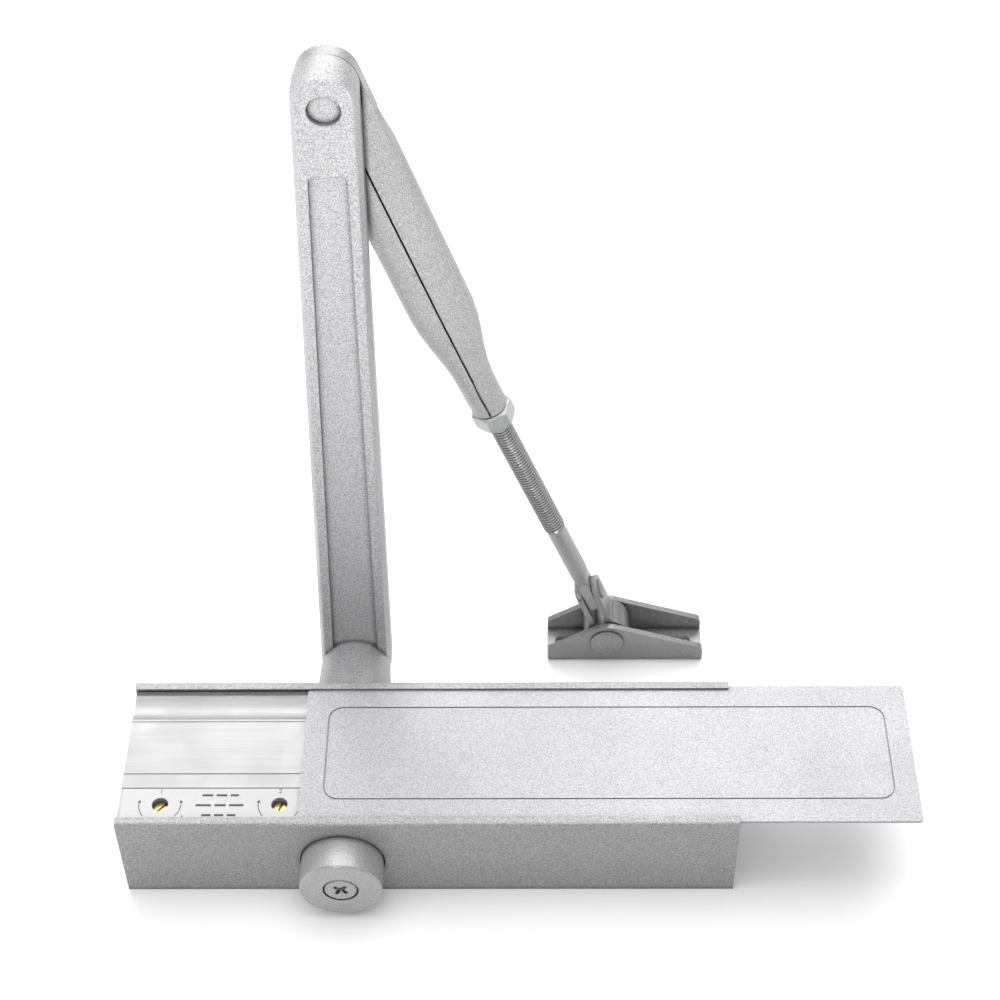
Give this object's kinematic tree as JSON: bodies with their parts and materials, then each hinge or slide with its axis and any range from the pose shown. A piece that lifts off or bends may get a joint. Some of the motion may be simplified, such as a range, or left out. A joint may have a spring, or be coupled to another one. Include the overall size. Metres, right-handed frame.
{
  "type": "door closer",
  "caption": "Surface-mounted rack-and-pinion door closer with a sliding cover plate, two speed valves and a jointed lever arm with a threaded adjusting rod and pivoting foot bracket.",
  "frame": {"origin": "on the body's mounting face, under the pinion axis and midway across the body's width", "axes": "+X along the body towards the spring end, +Y along the pinion axis towards the arm, +Z out of the mounting face"},
  "size_m": [0.3102, 0.1514, 0.3181],
  "materials": {
    "body_paint": "silver powder coat, fine speckle",
    "label_print": "white printed label",
    "plug_steel": "turned steel",
    "seal_rubber": "black nitrile",
    "bearing_steel": "ground steel",
    "spring_steel": "drawn spring wire",
    "shaft_steel": "hardened and ground steel",
    "arm_paint": "silver powder coat",
    "zinc_steel": "bright zinc plate",
    "cap_paint": "silver paint",
    "rivet_paint": "silver paint over steel",
    "piston_steel": "machined iron",
    "valve_brass": "turned brass",
    "cover_paint": "silver metallic paint",
    "forearm_paint": "silver powder coat over folded sheet",
    "washer_nylon": "white nylon",
    "rod_steel": "zinc-plated rolled thread",
    "strap_paint": "silver powder coat over bent strip",
    "foot_paint": "silver powder coat over pressed sheet"
  },
  "bodies": {
    "closer_body": {"body_housing": "body_paint", "setting_label": "label_print", "end_plug_left": "plug_steel", "end_plug_right": "plug_steel", "end_plug_seals": "seal_rubber", "spindle_bearings": "bearing_steel", "bearing_glands": "bearing_steel", "spindle_seals": "seal_rubber", "valve_seals": "seal_rubber", "main_spring_outer": "spring_steel", "main_spring_inner": "spring_steel", "spring_seat": "plug_steel", "adjuster_seal": "seal_rubber", "adjuster_clip": "spring_steel"},
    "spindle": {"pinion_shaft": "shaft_steel", "main_arm": "arm_paint", "arm_washer": "zinc_steel", "arm_screw": "zinc_steel", "spindle_cap": "cap_paint", "cap_screw": "zinc_steel", "elbow_rivet": "rivet_paint"},
    "piston": {"piston": "piston_steel", "check_ball": "bearing_steel", "check_valve_retainer": "valve_brass"},
    "power_adjuster": {"power_adjuster": "zinc_steel"},
    "cover": {"cover_plate": "cover_paint"},
    "latching_valve": {"latching_valve": "valve_brass"},
    "closing_valve": {"closing_valve": "valve_brass"},
    "forearm": {"forearm": "forearm_paint", "elbow_washer": "washer_nylon", "threaded_insert": "zinc_steel"},
    "rod": {"adjusting_rod": "rod_steel"},
    "lock_nut": {"lock_nut": "zinc_steel"},
    "stirrup": {"stirrup": "strap_paint", "rod_pin": "rivet_paint"},
    "foot": {"foot_bracket": "foot_paint", "foot_rivet": "rivet_paint"}
  },
  "joints": [
    {"name": "spindle_turn", "type": "hinge", "parent": "closer_body", "child": "spindle", "pos_m": [0, 0, 0.0196], "axis": [0, 1, 0], "range_deg": [0, 160], "stiffness_Nm_per_rad": 8, "springref_deg": -131.78},
    {"name": "piston_slide", "type": "slide", "parent": "closer_body", "child": "piston", "axis": [1, 0, 0], "range_m": [0, 0.02514], "deforming": ["main_spring_outer", "main_spring_inner"]},
    {"name": "power_adjuster_turn", "type": "hinge", "parent": "closer_body", "child": "power_adjuster", "pos_m": [0.15, 0, 0.0196], "axis": [1, 0, 0], "range_deg": [-720, 2160]},
    {"name": "cover_slide", "type": "slide", "parent": "closer_body", "child": "cover", "axis": [1, 0, 0], "range_m": [-0.0702, 0.17]},
    {"name": "latching_valve_turn", "type": "hinge", "parent": "closer_body", "child": "latching_valve", "pos_m": [-0.0703, -0.0233, 0.0379], "axis": [0, 0, 1], "range_deg": [-180, 360]},
    {"name": "closing_valve_turn", "type": "hinge", "parent": "closer_body", "child": "closing_valve", "pos_m": [-0.0239, -0.0233, 0.0379], "axis": [0, 0, 1], "range_deg": [-180, 360]},
    {"name": "elbow_turn", "type": "hinge", "parent": "spindle", "child": "forearm", "pos_m": [0.00658, 0.0744, 0.30322], "axis": [0, -1, 0], "range_deg": [-15, 130]},
    {"name": "rod_adjust", "type": "slide", "parent": "forearm", "child": "rod", "axis": [-0.3312, -0.0549, 0.942], "range_m": [-0.025, 0.01]},
    {"name": "lock_nut_turn", "type": "hinge", "parent": "forearm", "child": "lock_nut", "pos_m": [0.09888, 0.09135, 0.03517], "axis": [-0.3312, -0.0549, 0.942], "range_deg": [-360, 360]},
    {"name": "stirrup_tilt", "type": "hinge", "parent": "rod", "child": "stirrup", "pos_m": [0.09888, 0.09135, 0.03517], "axis": [0.9455, 0, 0.3256], "range_deg": [-12, 12]},
    {"name": "foot_turn", "type": "hinge", "parent": "stirrup", "child": "foot", "pos_m": [0.1066, 0.09135, 0.01275], "axis": [0, 1, 0], "range_deg": [-85, 60]}
  ],
  "couplings": [
    {"joint": "piston_slide", "follows": "spindle_turn", "m_per_rad": 0.009}
  ]
}
